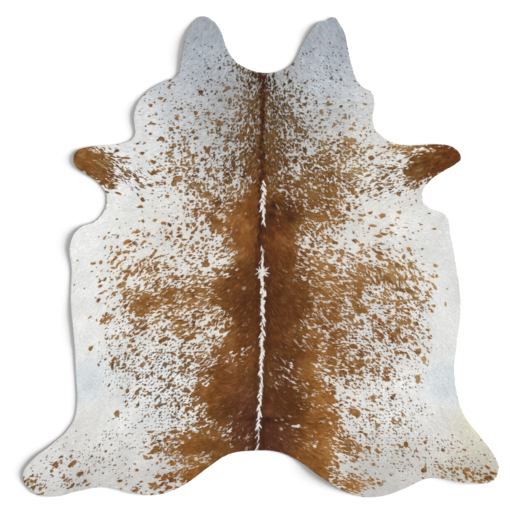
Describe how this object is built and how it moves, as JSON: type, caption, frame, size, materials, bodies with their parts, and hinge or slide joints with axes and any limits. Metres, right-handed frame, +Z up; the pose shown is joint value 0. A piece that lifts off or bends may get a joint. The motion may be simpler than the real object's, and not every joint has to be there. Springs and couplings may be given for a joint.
{
  "type": "cowhide rug",
  "caption": "Whole cowhide rug, hair side up, lying flat, with neck, leg and rump lobes and a brown speckled coat.",
  "frame": {"origin": "middle of the hide's bounding box, on the surface that it lies on", "axes": "+Z up through the hair side, +Y along the spine towards the neck, +X to the right seen from above with the neck at the top"},
  "size_m": [2.022, 2.0439, 0.0227],
  "materials": {
    "coat": "short hair lying flat, off-white with golden-brown and dark brown speckles and a brown band along the spine, soft satin sheen",
    "skin": "matt suede, the undyed flesh side of the hide"
  },
  "bodies": {
    "root": {"hide": "coat"}
  },
  "joints": []
}
